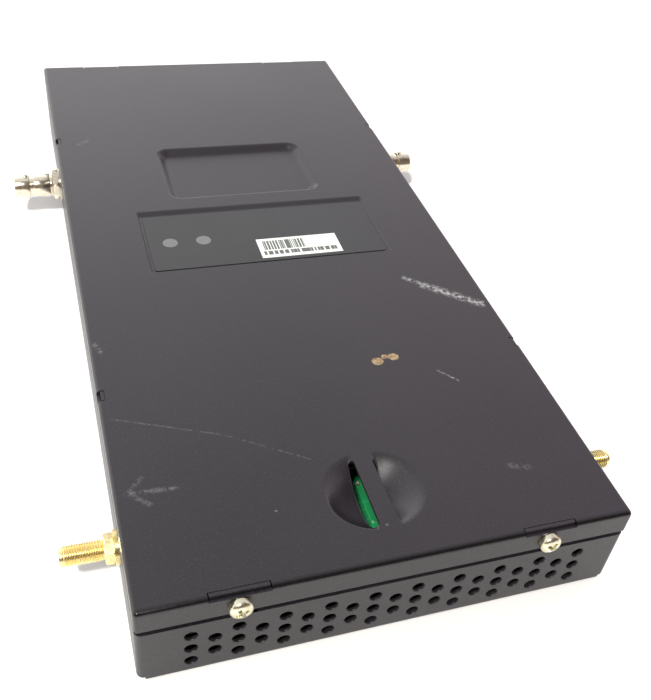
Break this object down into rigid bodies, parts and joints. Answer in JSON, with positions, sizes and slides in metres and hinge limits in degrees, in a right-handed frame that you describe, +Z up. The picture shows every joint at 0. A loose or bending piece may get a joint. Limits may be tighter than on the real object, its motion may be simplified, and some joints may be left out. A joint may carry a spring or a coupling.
{
  "type": "wireless access point",
  "caption": "Flat black folded-steel wireless access point with a lift-off cover, side aerial jacks, front vent holes, a status label and a rear network jack.",
  "frame": {"origin": "middle of the tray's underside", "axes": "+X to the right seen from the vented front, +Y from the vented front to the rear wall, along the length, +Z up out of the cover"},
  "size_m": [0.1868, 0.326, 0.033],
  "materials": {
    "powder_coat": "satin charcoal powder coat",
    "overlay_film": "matt printed film",
    "window_film": "translucent grey",
    "sticker_paper": "coated white paper",
    "screw_nickel": "nickel plate",
    "bnc_nickel": "nickel plate",
    "gold_plate": "gold plate",
    "ptfe": "white fluoropolymer",
    "board_mask": "green solder mask",
    "chip_epoxy": "moulded epoxy",
    "spreader_metal": "extruded",
    "gap_pad": "soft silicone pad",
    "jack_plastic": "black nylon",
    "tin_plate": "tinned steel",
    "standoff_steel": "zinc plate",
    "socket_plastic": "natural polymer",
    "can_sleeve": "heat-shrink sleeve",
    "winding_tape": "polyester tape",
    "ferrite": "sintered ferrite",
    "light_pipe": "clear acrylic",
    "film_insulation": "amber polyester film",
    "lead_jacket": "extruded jacket"
  },
  "bodies": {
    "case": {"base_tray": "powder_coat", "left_bnc_shell": "bnc_nickel", "right_bnc_shell": "bnc_nickel", "bnc_dielectrics": "ptfe", "bnc_contacts": "gold_plate", "bnc_washers": "bnc_nickel", "bnc_nuts": "bnc_nickel", "left_sma_shell": "gold_plate", "right_sma_shell": "gold_plate", "sma_dielectrics": "ptfe", "sma_contacts": "gold_plate", "sma_washers": "gold_plate", "sma_nuts": "gold_plate", "main_board": "board_mask", "board_standoffs": "standoff_steel", "insulating_film": "film_insulation", "board_screws": "standoff_steel", "processor": "chip_epoxy", "chip_thermal_pad": "gap_pad", "heat_spreader": "spreader_metal", "cover_thermal_pad": "gap_pad", "memory_chips": "chip_epoxy", "flash_chip": "chip_epoxy", "power_controller": "chip_epoxy", "clock_crystal": "tin_plate", "network_jack_shield": "tin_plate", "network_jack_housing": "jack_plastic", "network_jack_contacts": "gold_plate", "isolation_transformer": "chip_epoxy", "transformer_core": "ferrite", "transformer_winding": "winding_tape", "storage_capacitors": "can_sleeve", "filter_chokes": "ferrite", "left_radio_card": "board_mask", "right_radio_card": "board_mask", "left_radio_shield": "tin_plate", "right_radio_shield": "tin_plate", "left_card_socket": "socket_plastic", "right_card_socket": "socket_plastic", "card_posts": "socket_plastic", "status_lights": "window_film", "light_pipes": "light_pipe", "left_bnc_lead": "lead_jacket", "right_bnc_lead": "lead_jacket", "left_sma_lead": "lead_jacket", "right_sma_lead": "lead_jacket", "lead_plugs": "gold_plate"},
    "cover": {"cover": "powder_coat", "label_overlay": "overlay_film", "light_windows": "window_film", "serial_sticker": "sticker_paper"},
    "front_left_screw": {"front_left_cover_screw": "screw_nickel"},
    "front_right_screw": {"front_right_cover_screw": "screw_nickel"},
    "rear_left_screw": {"rear_left_cover_screw": "screw_nickel"},
    "rear_right_screw": {"rear_right_cover_screw": "screw_nickel"}
  },
  "joints": [
    {"name": "cover_lift", "type": "slide", "parent": "case", "child": "cover", "axis": [0, 0, 1], "range_m": [0, 0.06]},
    {"name": "front_left_screw_out", "type": "slide", "parent": "case", "child": "front_left_screw", "axis": [0, -1, 0], "range_m": [0, 0.012]},
    {"name": "front_right_screw_out", "type": "slide", "parent": "case", "child": "front_right_screw", "axis": [0, -1, 0], "range_m": [0, 0.012]},
    {"name": "rear_left_screw_out", "type": "slide", "parent": "case", "child": "rear_left_screw", "axis": [0, 1, 0], "range_m": [0, 0.012]},
    {"name": "rear_right_screw_out", "type": "slide", "parent": "case", "child": "rear_right_screw", "axis": [0, 1, 0], "range_m": [0, 0.012]}
  ]
}
